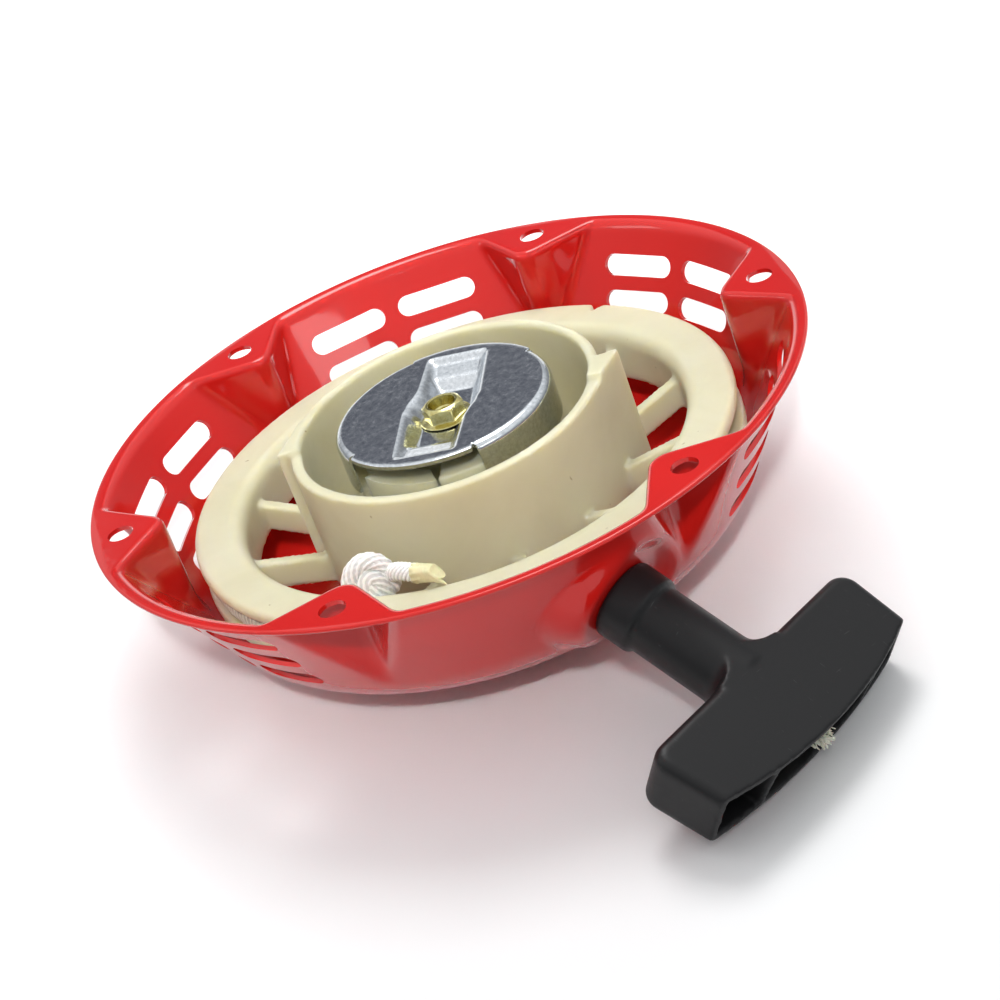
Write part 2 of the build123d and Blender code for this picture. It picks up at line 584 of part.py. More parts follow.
def make_grip():
    bar = loft([crossbar_face(1, GRIP_MID_DEPTH), crossbar_face(-1, GRIP_LOW_DEPTH)], ruled=True)
    corners = [e for e in bar.edges() if e.length < GRIP_THICK * 1.1 and e.center().Z < GRIP_REACH + 1]
    bar = fillet(corners, GRIP_CORNER)
    low = bar.faces().sort_by(Axis.Z)[0]
    bar = fillet([e for e in low.edges() if e.length > GRIP_THICK * 1.1], GRIP_EDGE_FILLET)
    collar = tube(COLLAR_R, 0, RUNNING_GAP, COLLAR_LENGTH)
    collar = fillet(collar.edges().filter_by(GeomType.CIRCLE), COLLAR_FILLET)
    grip = collar + tube(NECK_R, 0, COLLAR_LENGTH - 1, GRIP_REACH + 2) + bar + neck_flare()
    edge = DIVIDER_X + DIVIDER_T / 2
    inner = DIVIDER_X - DIVIDER_T / 2
    wall_x = GRIP_LENGTH / 2 - GRIP_WALL
    hollows = ((-wall_x, -edge, SIDE_FLOOR), (-inner, inner, MIDDLE_FLOOR), (edge, wall_x, SIDE_FLOOR))
    for low_x, high_x, floor in hollows:
        grip -= Pos((low_x + high_x) / 2, 0, GRIP_REACH + floor) * Box(
            high_x - low_x, GRIP_THICK - 2 * GRIP_WALL, GRIP_LENGTH, align=STAND)
    grip -= tube(ROPE_R + ROPE_SLACK, 0, -1, GRIP_REACH + MIDDLE_FLOOR + 1)
    grip -= tube(BUSH_FLANGE_R + FLANGE_SLACK, 0, -1, BUSH_FLANGE_T + FLANGE_SLACK)
    return grip_place() * grip


# ---------------------------------------------------------------- files
PARTS = {
    "housing": make_housing,
    "centre_post": make_centre_post,
    "rope_guide_bush": make_rope_guide_bush,
    "recoil_spring": make_recoil_spring,
    "thrust_washer": make_thrust_washer,
    "friction_spring": make_friction_spring,
    "set_bolt": make_set_bolt,
    "rope_lead": make_rope_lead,
    "reel_ring": make_reel_ring,
    "reel_wall": make_reel_wall,
    "reel_spokes": make_reel_spokes,
    "reel_drum": make_reel_drum,
    "rope_coil": make_rope_coil,
    "reel_rope_knot": make_reel_rope_knot,
    "rope_tail": make_rope_tail,
    "pawl_spring_1": lambda: make_pawl_spring(0),
    "pawl_spring_2": lambda: make_pawl_spring(180),
    "pawl_1": lambda: make_pawl(0),
    "pawl_2": lambda: make_pawl(180),
    "ratchet_guide": make_ratchet_guide,
    "pull_rope": make_pull_rope,
    "grip_rope_knot": make_grip_rope_knot,
    "rope_frayed_end": make_rope_frayed_end,
    "grip": make_grip,
}

os.makedirs("parts", exist_ok=True)
for name, make in PARTS.items():
    export_step(make(), f"parts/{name}.step")
    print("wrote", name)
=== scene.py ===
"""Recoil starter of a small engine: the looks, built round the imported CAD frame."""

import math

import bmesh
import bpy
import numpy as np
from mathutils import Matrix, Vector


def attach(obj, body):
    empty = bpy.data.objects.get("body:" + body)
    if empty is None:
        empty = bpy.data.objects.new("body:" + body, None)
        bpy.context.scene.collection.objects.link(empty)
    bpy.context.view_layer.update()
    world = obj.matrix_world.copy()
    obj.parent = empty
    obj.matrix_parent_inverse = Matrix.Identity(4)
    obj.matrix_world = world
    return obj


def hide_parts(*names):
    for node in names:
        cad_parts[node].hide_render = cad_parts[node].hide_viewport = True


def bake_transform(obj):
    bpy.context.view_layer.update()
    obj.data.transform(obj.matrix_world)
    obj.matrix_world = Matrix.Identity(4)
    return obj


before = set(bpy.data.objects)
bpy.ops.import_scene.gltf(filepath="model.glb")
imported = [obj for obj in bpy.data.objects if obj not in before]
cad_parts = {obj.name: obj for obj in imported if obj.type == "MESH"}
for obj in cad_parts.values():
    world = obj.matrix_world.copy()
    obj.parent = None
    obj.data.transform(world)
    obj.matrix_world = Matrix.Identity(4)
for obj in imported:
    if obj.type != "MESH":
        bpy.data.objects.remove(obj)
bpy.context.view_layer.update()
MM = 0.001

# ---------------------------------------------------------------- camera
CAMERA_AT = Vector((530.7, -340.7, 317.9)) * MM
CAMERA_AIM = Vector((22.03, -8.0, -20.0)) * MM
CAMERA_ROLL = 20.57                 # degrees, clockwise
LENS = 98.4                         # mm on a 36 mm sensor

# ---------------------------------------------------------------- sizes, mm
# housing
SHEET = 1.2
RIM_EDGE_R = 96.4                   # where the sheet's middle surface ends
CONE_R = 94.5                       # outer face of the sloping wall, at the mounting face
SLOPE = math.atan(25.5 / 46.0)      # of the wall, from upright
BEND_R = 26.4                       # from the wall to the closed end
FLOOR_MID_Z = -45.4
BOSS_APEX = 76.8                    # sharp tip of a boss on the sheet's middle surface
BOSS_HALF = 48.4                    # degrees
BOSS_TIP_R = 4.4
BOSS_BLEND = 2.6                    # rounding where a boss meets the wall
BOLT_CIRCLE_R = 89.0
MOUNTING_HOLE = 7.0
EYELET_HOLE = 10.0
SLOT_HEIGHT = 6.0
SLOT_HALF_ANGLE = 7.5               # degrees
SLOT_COLUMNS = (-9.0, 9.0)          # degrees from the middle of a bay
SLOT_ROWS_Z = (-11.4, -20.2, -29.0)

# ratchet guide
GUIDE_FLAT_R = 27.0
GUIDE_BEND = 2.2
GUIDE_THICK = 1.0
GUIDE_TOP_Z = 0.5
GUIDE_SKIRT = 9.0
GUIDE_HOLE_R = 5.2
CHANNEL_DEPTH = 4.6

# bolt
BOLT_FLAT = 5.0                     # half the width across flats
BOLT_CORNER = 5.62

# rope and grip
SEAT = np.array((77.5, -22.0, -26.0))
PULL = np.array((0.862730, 0.075479, -0.5))
PULL /= np.linalg.norm(PULL)
PULL_ROPE_R = 2.0
ROPE_Z = -21.3                      # middle of the reel's groove
KNOT_AZIMUTH = -68.5
GRIP_POCKET = 35.8 + 9.7            # floor of the crossbar's middle hollow, along the pull


def make_camera():
    """The camera of the main view, rolled about its own line of sight."""
    data = bpy.data.cameras.new("camera")
    data.lens = LENS
    data.sensor_width = 36.0
    data.clip_start = 0.01
    data.clip_end = 50.0
    camera = bpy.data.objects.new("camera", data)
    bpy.context.scene.collection.objects.link(camera)
    look = (CAMERA_AIM - CAMERA_AT).normalized()
    level = look.to_track_quat("-Z", "Y").to_matrix().to_4x4()
    roll = Matrix.Rotation(-math.radians(CAMERA_ROLL), 4, "Z")
    camera.matrix_world = Matrix.Translation(CAMERA_AT) @ level @ roll
    bpy.context.scene.camera = camera


# ---------------------------------------------------------------- mesh helpers
def add_mesh(name, points, faces, smooth=True):
    """A new object from points in millimetres."""
    mesh = bpy.data.meshes.new(name)
    mesh.from_pydata((np.asarray(points) * MM).tolist(), [], [list(map(int, f)) for f in faces])
    mesh.update()
    mesh.polygons.foreach_set("use_smooth", [smooth] * len(mesh.polygons))
    obj = bpy.data.objects.new(name, mesh)
    bpy.context.scene.collection.objects.link(obj)
    return obj


def grid_faces(rows, cols, closed=True, start=0):
    """Quads over a grid of rows by cols points; closed joins the last column to the first."""
    i, j = np.meshgrid(np.arange(rows - 1), np.arange(cols if closed else cols - 1), indexing="ij")
    k = (j + 1) % cols
    quads = np.stack((i * cols + j, i * cols + k, (i + 1) * cols + k, (i + 1) * cols + j), axis=-1)
    return quads.reshape(-1, 4) + start


def end_caps(total, around, start=0):
    """The first and the last ring of a tube of points, each as one face."""
    return [list(range(start, start + around))[::-1], list(range(total - around, total))]


def face_outward(obj, weld=0.0):
    """Points the faces of a closed mesh outwards, after welding points nearer than weld, in metres."""
    bm = bmesh.new()
    bm.from_mesh(obj.data)
    if weld:
        bmesh.ops.remove_doubles(bm, verts=bm.verts, dist=weld)
    bmesh.ops.recalc_face_normals(bm, faces=bm.faces)
    bm.to_mesh(obj.data)
    bm.free()


def shade_smooth(obj):
    obj.data.polygons.foreach_set("use_smooth", [True] * len(obj.data.polygons))


def apply_modifiers(obj):
    """Turns what the modifiers show into the object's own mesh."""
    depsgraph = bpy.context.evaluated_depsgraph_get()
    mesh = bpy.data.meshes.new_from_object(obj.evaluated_get(depsgraph))
    old = obj.data
    obj.modifiers.clear()
    obj.data = mesh
    bpy.data.meshes.remove(old)


def sharpen(obj, degrees):
    """Smooth shading, with hard edges where faces meet at more than an angle."""
    shade_smooth(obj)
    obj.data.set_sharp_from_angle(angle=math.radians(degrees))


def joined_copy(name, nodes):
    """One new mesh that holds a copy of several CAD nodes."""
    bm = bmesh.new()
    for node in nodes:
        bm.from_mesh(bpy.data.objects[node].data)
    mesh = bpy.data.meshes.new(name)
    bm.to_mesh(mesh)
    bm.free()
    obj = bpy.data.objects.new(name, mesh)
    bpy.context.scene.collection.objects.link(obj)
    return obj


def soften(obj, voxel, smooth_steps):
    """Rounds a copied moulding: voxel remesh, then a little smoothing."""
    remesh = obj.modifiers.new("remesh", "REMESH")
    remesh.mode = "VOXEL"
    remesh.voxel_size = voxel * MM
    smooth = obj.modifiers.new("smooth", "SMOOTH")
    smooth.factor = 0.5
    smooth.iterations = smooth_steps
    apply_modifiers(obj)
    shade_smooth(obj)


def smoothstep(a, b, x):
    """0 up to a, 1 from b on, with a soft change between."""
    t = np.clip((x - a) / (b - a), 0, 1)
    return t * t * (3 - 2 * t)


def smooth_min(a, b, k):
    """The smaller of two values, rounded over a width of k where they cross."""
    h = np.maximum(k - np.abs(a - b), 0) / k
    return np.minimum(a, b) - h * h * k / 4


# ---------------------------------------------------------------- materials
def new_material(name):
    """A node material: its tree, its Principled shader and a socket with object coordinates in mm."""
    mat = bpy.data.materials.new(name)
    mat.use_nodes = True
    tree = mat.node_tree
    shader = tree.nodes["Principled BSDF"]
    coord = tree.nodes.new("ShaderNodeTexCoord")
    scale = tree.nodes.new("ShaderNodeVectorMath")
    scale.operation = "SCALE"
    scale.inputs["Scale"].default_value = 1000.0
    tree.links.new(coord.outputs["Object"], scale.inputs[0])
    return mat, tree, shader, scale.outputs[0]


def noise(tree, coord, scale, detail=3.0, rough=0.55, stretch=None, distortion=0.0):
    """A noise value; scale is in cycles per mm."""
    if stretch:
        mapping = tree.nodes.new("ShaderNodeMapping")
        mapping.inputs["Scale"].default_value = stretch[0]
        mapping.inputs["Rotation"].default_value = stretch[1]
        tree.links.new(coord, mapping.inputs["Vector"])
        coord = mapping.outputs["Vector"]
    node = tree.nodes.new("ShaderNodeTexNoise")
    node.inputs["Scale"].default_value = scale
    node.inputs["Detail"].default_value = detail
    node.inputs["Roughness"].default_value = rough
    node.inputs["Distortion"].default_value = distortion
    tree.links.new(coord, node.inputs["Vector"])
    return node.outputs["Fac"]


def ramp(tree, value, stops):
    """A colour for each value, from stops of a place and a colour."""
    node = tree.nodes.new("ShaderNodeValToRGB")
    elements = node.color_ramp.elements
    while len(elements) < len(stops):
        elements.new(0.5)
    for element, (at, colour) in zip(elements, stops):
        element.position = at
        element.color = (*colour, 1)
    tree.links.new(value, node.inputs["Fac"])
    return node.outputs["Color"]


def remap(tree, value, low, high, to_low, to_high):
    """A value stretched from one range to another, and held at its ends."""
    node = tree.nodes.new("ShaderNodeMapRange")
    for key, number in zip(("From Min", "From Max", "To Min", "To Max"), (low, high, to_low, to_high)):
        node.inputs[key].default_value = number
    tree.links.new(value, node.inputs["Value"])
    return node.outputs["Result"]


def add_bump(tree, shader, heights):
    """Chains bumps; each is a value, a strength and a height in mm."""
    normal = None
    for value, strength, height in heights:
        node = tree.nodes.new("ShaderNodeBump")
        node.inputs["Strength"].default_value = strength
        node.inputs["Distance"].default_value = height * MM
        tree.links.new(value, node.inputs["Height"])
        if normal:
            tree.links.new(normal, node.inputs["Normal"])
        normal = node.outputs["Normal"]
    tree.links.new(normal, shader.inputs["Normal"])
    return normal


def set_inputs(shader, **values):
    """Sets inputs of a shader by name, with _ for a space."""
    for key, value in values.items():
        shader.inputs[key.replace("_", " ")].default_value = value


def enamel():
    """Baked red enamel: nearly even colour under a glossy coat with faint orange peel."""
    mat, tree, shader, coord = new_material("red_enamel")
    cloud = noise(tree, coord, 0.02, 2.0)
    tree.links.new(ramp(tree, cloud, [(0.3, (0.50, 0.0095, 0.007)), (0.7, (0.56, 0.0125, 0.009))]),
                   shader.inputs["Base Color"])
    tree.links.new(remap(tree, noise(tree, coord, 0.09, 4.0), 0.3, 0.75, 0.10, 0.22),
                   shader.inputs["Roughness"])
    set_inputs(shader, Coat_Weight=1.0, Coat_Roughness=0.04, Coat_IOR=1.4, IOR=1.45)
    shader.inputs["Specular IOR Level"].default_value = 0.15
    peel = add_bump(tree, shader, [(noise(tree, coord, 0.22, 1.5, 0.4), 0.35, 0.06)])
    tree.links.new(peel, shader.inputs["Coat Normal"])
    return mat


def nylon():
    """Natural cream nylon: slightly translucent, with faint flow marks and a few dark specks."""
    mat, tree, shader, coord = new_material("cream_nylon")
    flow = noise(tree, coord, 0.035, 4.0, 0.6, distortion=0.6)
    base = ramp(tree, flow, [(0.3, (0.52, 0.495, 0.335)), (0.55, (0.55, 0.53, 0.375)),
                             (0.8, (0.57, 0.555, 0.41))])
    speck = ramp(tree, noise(tree, coord, 0.42, 0.0), [(0.855, (1, 1, 1)), (0.90, (0.35, 0.27, 0.18))])
    mix = tree.nodes.new("ShaderNodeMix")
    mix.data_type = "RGBA"
    mix.blend_type = "MULTIPLY"
    mix.inputs["Factor"].default_value = 0.8
    tree.links.new(base, mix.inputs["A"])
    tree.links.new(speck, mix.inputs["B"])
    tree.links.new(mix.outputs["Result"], shader.inputs["Base Color"])
    tree.links.new(remap(tree, noise(tree, coord, 0.15, 4.0), 0.3, 0.7, 0.36, 0.5),
                   shader.inputs["Roughness"])
    set_inputs(shader, Subsurface_Weight=0.9, Subsurface_Scale=0.007, IOR=1.52)
    shader.inputs["Subsurface Radius"].default_value = (1.0, 0.9, 0.6)
    shader.inputs["Specular IOR Level"].default_value = 0.4
    add_bump(tree, shader, [(noise(tree, coord, 0.08, 3.0), 0.3, 0.25),
                            (noise(tree, coord, 1.6, 2.0), 0.2, 0.03)])
    return mat


def plated(name, low, high, rough, grain=0.5):
    """Zinc plate: metal with cloudy patches, fine grain and hairline scratches."""
    mat, tree, shader, coord = new_material(name)
    cloud = noise(tree, coord, grain, 6.0, 0.75)
    tree.links.new(ramp(tree, cloud, [(0.3, low), (0.7, high)]), shader.inputs["Base Color"])
    tree.links.new(remap(tree, noise(tree, coord, 0.6, 5.0, 0.7), 0.3, 0.75, rough[0], rough[1]),
                   shader.inputs["Roughness"])
    shader.inputs["Metallic"].default_value = 1.0
    scratch = noise(tree, coord, 1.0, 4.0, 0.8, ((0.35, 6.0, 1.0), (0, 0, 0.5)))
    add_bump(tree, shader, [(noise(tree, coord, 1.2, 3.0), 0.18, 0.03), (scratch, 0.12, 0.02)])
    return mat


def black_plastic():
    """Black polypropylene: satin, with fine pale scratches two ways."""
    mat, tree, shader, coord = new_material("black_polypropylene")
    one = noise(tree, coord, 1.0, 2.0, 0.6, ((0.10, 3.2, 0.5), (0.2, 0.3, 0.7)))
    two = noise(tree, coord, 1.0, 2.0, 0.6, ((2.6, 0.10, 0.5), (0.1, 0.5, 0.25)))
    scratches = tree.nodes.new("ShaderNodeMath")
    scratches.operation = "MAXIMUM"
    scratches.use_clamp = True
    tree.links.new(remap(tree, one, 0.735, 0.77, 0, 1), scratches.inputs[0])
    tree.links.new(remap(tree, two, 0.735, 0.77, 0, 1), scratches.inputs[1])
    mark = scratches.outputs[0]
    tree.links.new(ramp(tree, mark, [(0.0, (0.0075, 0.0075, 0.0082)), (1.0, (0.035, 0.035, 0.037))]),
                   shader.inputs["Base Color"])
    tree.links.new(remap(tree, noise(tree, coord, 0.35, 4.0), 0.3, 0.7, 0.40, 0.47),
                   shader.inputs["Roughness"])
    shader.inputs["Specular IOR Level"].default_value = 0.3
    add_bump(tree, shader, [(noise(tree, coord, 2.2, 2.0), 0.35, 0.04), (mark, 0.3, 0.05)])
    return mat


def rope_material(name, colour, fuzz=0.15, rough=0.75, woven=False):
    """Nylon thread: pale, with a soft sheen and a random darker tone; woven rope has painted shade instead,
    darker in the valleys between its strands.
    """
    mat, tree, shader, coord = new_material(name)
    valley_shade_or_tone = noise(tree, coord, 0.5, 4.0, 0.7)
    # Woven rope: the colour is painted shade, darker where the strand height is low, in the valleys between
    # the strands.
    if woven:
        strand = tree.nodes.new("ShaderNodeAttribute")
        strand.attribute_name = "strand"
        valley_shade_or_tone = remap(tree, strand.outputs["Fac"], 0.62, 0.88, 0.0, 0.7)
    valley_shade_or_dark_tone = tuple(c * (0.72 if woven else 0.86) for c in colour)
    tree.links.new(ramp(tree, valley_shade_or_tone, [(0.1 if woven else 0.3, valley_shade_or_dark_tone), (0.65, colour)]),
                   shader.inputs["Base Color"])
    set_inputs(shader, Roughness=rough, Sheen_Weight=fuzz, Sheen_Roughness=0.4,
               Subsurface_Weight=0.15, Subsurface_Scale=0.0008)
    add_bump(tree, shader, [(noise(tree, coord, 5.0, 2.0), 0.5, 0.06)])
    return mat


def braided_cad(name, colour):
    """For hidden rope kept from the CAD: a woven bump in place of strands, with painted shade where the
    first wave of the bump is low.
    """
    mat, tree, shader, coord = new_material(name)
    checks = []
    for turn in (0.8, -0.8):
        mapping = tree.nodes.new("ShaderNodeMapping")
        mapping.inputs["Rotation"].default_value = (turn, turn * 0.6, turn)
        tree.links.new(coord, mapping.inputs["Vector"])
        wave = tree.nodes.new("ShaderNodeTexWave")
        wave.inputs["Scale"].default_value = 0.28
        tree.links.new(mapping.outputs["Vector"], wave.inputs["Vector"])
        checks.append((wave.outputs["Fac"], 0.6, 0.3))
    # Painted shade: the colour darkens where the first wave of the woven bump is low, in the weave's
    # valleys.
    tree.links.new(ramp(tree, checks[0][0], [(0.0, tuple(c * 0.7 for c in colour)), (0.6, colour)]),
                   shader.inputs["Base Color"])
    set_inputs(shader, Roughness=0.75, Sheen_Weight=0.15)
    add_bump(tree, shader, checks)
    return mat


def set_material(obj, material):
    obj.data.materials.clear()
    obj.data.materials.append(material)


# ---------------------------------------------------------------- housing
def boss_wall(azimuth):
    """Radius of the bosses' inner outline at each azimuth, in degrees; large between the bosses."""
    off = np.abs((azimuth + 30) % 60 - 30)
    tip_centre = BOSS_APEX + BOSS_TIP_R / math.sin(math.radians(BOSS_HALF))
    tip = tip_centre * np.cos(np.radians(off)) \
        - np.sqrt(np.maximum(BOSS_TIP_R ** 2 - (tip_centre * np.sin(np.radians(off))) ** 2, 0))
    slant = np.radians(BOSS_HALF - np.minimum(off, 29.9))
    flank = BOSS_APEX * math.sin(math.radians(BOSS_HALF)) / np.sin(slant)
    tip_ends = math.degrees(math.atan2(2.921, 79.39))
    return np.where(off < tip_ends, tip, flank)


def flatten_seat(points):
    """Presses the round flat seat into the wall where the grip rests."""
    away = points - SEAT
    depth = away @ PULL + SHEET / 2
    radial = np.linalg.norm(away - np.outer(away @ PULL, PULL), axis=1)
    weight = (1 - smoothstep(13.0, 19.5, radial)) * (points[:, 0] > 40)
    return points - np.outer(depth * weight, PULL)


def housing_middle(cols):
    """Rows of points over the sheet's middle surface, from the rim to the centre of the closed end."""
    azimuth = np.arange(cols) * 360.0 / cols
    boss = boss_wall(azimuth)
    top_z = -SHEET / 2
    cone_top = CONE_R - 0.6 / math.cos(SLOPE)

    def wall(z):
        return smooth_min(cone_top + math.tan(SLOPE) * z, boss, BOSS_BLEND)

    rows = []
    fold = wall(top_z)
    fold_out, fold_down = 1.9, 2.1
    for t in np.linspace(0, 1, 9):
        rows.append((RIM_EDGE_R + (fold + fold_out - RIM_EDGE_R) * t, top_z))
    low = wall(top_z - fold_down)
    for t in np.linspace(0, 1, 9)[1:]:
        r = (1 - t) ** 2 * (fold + fold_out) + 2 * t * (1 - t) * fold + t * t * low
        rows.append((r, top_z * (1 - t) ** 2 + 2 * t * (1 - t) * top_z + t * t * (top_z - fold_down)))
    centre_r = cone_top + math.tan(SLOPE) * (FLOOR_MID_Z + BEND_R) - BEND_R / math.cos(SLOPE)
    centre_z = FLOOR_MID_Z + BEND_R
    join_z = centre_z - BEND_R * math.sin(SLOPE)
    for z in np.linspace(top_z - fold_down, join_z, 34)[1:]:
        rows.append((wall(z), z))
    for angle in np.linspace(SLOPE, math.pi / 2, 18)[1:]:
        r = centre_r + BEND_R * math.cos(angle)
        rows.append((smooth_min(r, boss, BOSS_BLEND), centre_z - BEND_R * math.sin(angle)))
    last = rows[-1][0]
    for t in np.linspace(0, 1, 16)[1:]:
        rows.append((last * (1 - t) + 0.4 * t, FLOOR_MID_Z))
    c, s = np.cos(np.radians(azimuth)), np.sin(np.radians(azimuth))
    return np.array([np.stack((r * c, r * s, np.full(cols, z)), axis=1) for r, z in
                     [(np.broadcast_to(r, cols), z) for r, z in rows]])


def surface_normals(grid):
    """Outward unit normals of a grid of rows whose columns close."""
    along = np.gradient(grid, axis=0)
    around = np.roll(grid, -1, axis=1) - np.roll(grid, 1, axis=1)
    n = np.cross(around, along)
    return n / np.maximum(np.linalg.norm(n, axis=2, keepdims=True), 1e-9)


def slot_cutter(bm, place, length, height, depth):
    """A round-ended prism, centred on place and reaching depth both ways."""
    ends = []
    r = height / 2
    for side, first in ((1, -90), (-1, 90)):
        for k in range(13):
            a = math.radians(first + 15 * k)
            ends.append((side * (length / 2 - r) + r * math.cos(a), r * math.sin(a)))
    low = [bm.verts.new(place @ Vector((x * MM, y * MM, -depth * MM))) for x, y in ends]
    top = [bm.verts.new(place @ Vector((x * MM, y * MM, depth * MM))) for x, y in ends]
    bm.faces.new(low[::-1])
    bm.faces.new(top)
    for k in range(len(ends)):
        m = (k + 1) % len(ends)
        bm.faces.new((low[k], low[m], top[m], top[k]))


def axes(origin, x, z):
    """A placement from an origin in millimetres and the directions of its x and z."""
    x, z = Vector(x).normalized(), Vector(z).normalized()
    y = z.cross(x)
    m = Matrix((x, y, z)).transposed().to_4x4()
    m.translation = Vector(origin) * MM
    return m


def housing_cutters():
    """Vent slots, mounting holes and the eyelet's hole, as one mesh of separate prisms."""
    bm = bmesh.new()
    for bay in range(1, 6):
        for column in SLOT_COLUMNS:
            azimuth = math.radians(-30 + 60 * bay + column)
            c, s = math.cos(azimuth), math.sin(azimuth)
            for z in SLOT_ROWS_Z:
                r = CONE_R + z * math.tan(SLOPE)
                out = (math.cos(SLOPE) * c, math.cos(SLOPE) * s, -math.sin(SLOPE))
                length = 2 * r * math.sin(math.radians(SLOT_HALF_ANGLE))
                slot_cutter(bm, axes((r * c, r * s, z), (-s, c, 0), out), length, SLOT_HEIGHT, 4)
    for k in range(6):
        a = math.radians(60 * k)
        place = axes((BOLT_CIRCLE_R * math.cos(a), BOLT_CIRCLE_R * math.sin(a), 0), (1, 0, 0), (0, 0, 1))
        slot_cutter(bm, place, MOUNTING_HOLE + 0.001, MOUNTING_HOLE, 4)
    place = axes(SEAT, (-math.sin(0.0873), math.cos(0.0873), 0), PULL)
    slot_cutter(bm, place, EYELET_HOLE + 0.001, EYELET_HOLE, 5)
    bmesh.ops.recalc_face_normals(bm, faces=bm.faces)
    mesh = bpy.data.meshes.new("cutters")
    bm.to_mesh(mesh)
    bm.free()
    obj = bpy.data.objects.new("cutters", mesh)
    bpy.context.scene.collection.objects.link(obj)
    return obj


def make_housing(material):
    """The pressed cup as one sheet of even thickness, with its slots and holes cut through."""
    cols = 540
    middle = housing_middle(cols)
    shape = middle.shape
    middle = flatten_seat(middle.reshape(-1, 3)).reshape(shape)
    normal = surface_normals(middle)
    half = SHEET / 2
    rows = [middle[k] - normal[k] * half for k in range(shape[0] - 1, -1, -1)]
    edge_r = np.linalg.norm(middle[0][:, :2], axis=1, keepdims=True)
    edge_out = middle[0] / np.maximum(edge_r, 1e-9) * (1, 1, 0)
    for angle in np.linspace(-90, 90, 9)[1:-1]:
        a = math.radians(angle)
        rows.append(middle[0] + edge_out * half * math.cos(a) + normal[0] * half * math.sin(a))
    rows += [middle[k] + normal[k] * half for k in range(shape[0])]
    points = np.concatenate(rows)
    faces = grid_faces(len(rows), cols).tolist() + end_caps(len(points), cols)
    obj = add_mesh("housing_shell", points, faces)
    face_outward(obj)
    cutters = housing_cutters()
    cut = obj.modifiers.new("slots", "BOOLEAN")
    cut.operation = "DIFFERENCE"
    cut.solver = "EXACT"
    cut.object = cutters
    apply_modifiers(obj)
    bpy.data.objects.remove(cutters)
    sharpen(obj, 40)
    set_material(obj, material)
    return obj


# ---------------------------------------------------------------- ratchet guide
def segment_distance(x, y, corners):
    """Signed distance to a closed outline, negative inside."""
    best = np.full(x.shape, 1e9)
    inside = np.zeros(x.shape, bool)
    n = len(corners)
    for k in range(n):
        (ax, ay), (bx, by) = corners[k], corners[(k + 1) % n]
        ex, ey = bx - ax, by - ay
        t = np.clip(((x - ax) * ex + (y - ay) * ey) / (ex * ex + ey * ey), 0, 1)
        best = np.minimum(best, np.hypot(x - ax - t * ex, y - ay - t * ey))
        crosses = ((ay > y) != (by > y)) & (x < (bx - ax) * (y - ay) / (by - ay + 1e-12) + ax)
        inside ^= crosses
    return np.where(inside, -best, best)


def guide_surface(x, y):
    """Height of the guide's top: flat, with the pressed Z channel.

    The channel's ends ramp up, and its edges are softened by averaging over small offsets."""
    half = [(-21.5, 14.8), (-8.0, 24.9), (6.6, 8.3), (11.5, -2.0)]
    corners = half + [(-a, -b) for a, b in half]
    end_out = np.array((-0.599, 0.801))
    total = np.zeros(x.shape)
    offsets = [(0.0, 0.0)] + [(r * math.cos(k * math.pi / 4), r * math.sin(k * math.pi / 4))
                              for r in (0.5, 1.0) for k in range(8)]
    for dx, dy in offsets:
        px, py = x + dx, y + dy
        outline = np.minimum(segment_distance(px, py, corners), np.hypot(px, py) - 9.8)
        end = np.abs(px * end_out[0] + py * end_out[1])
        floor = np.interp(end, (0, 13.5, 17.0, 24.0, 24.8), (CHANNEL_DEPTH, CHANNEL_DEPTH, 2.3, 1.2, 1.2))
        total += np.minimum(CHANNEL_DEPTH * smoothstep(0.2, -4.4, outline),
                            floor * smoothstep(0.2, -1.8, outline))
    return GUIDE_TOP_Z - total / len(offsets)


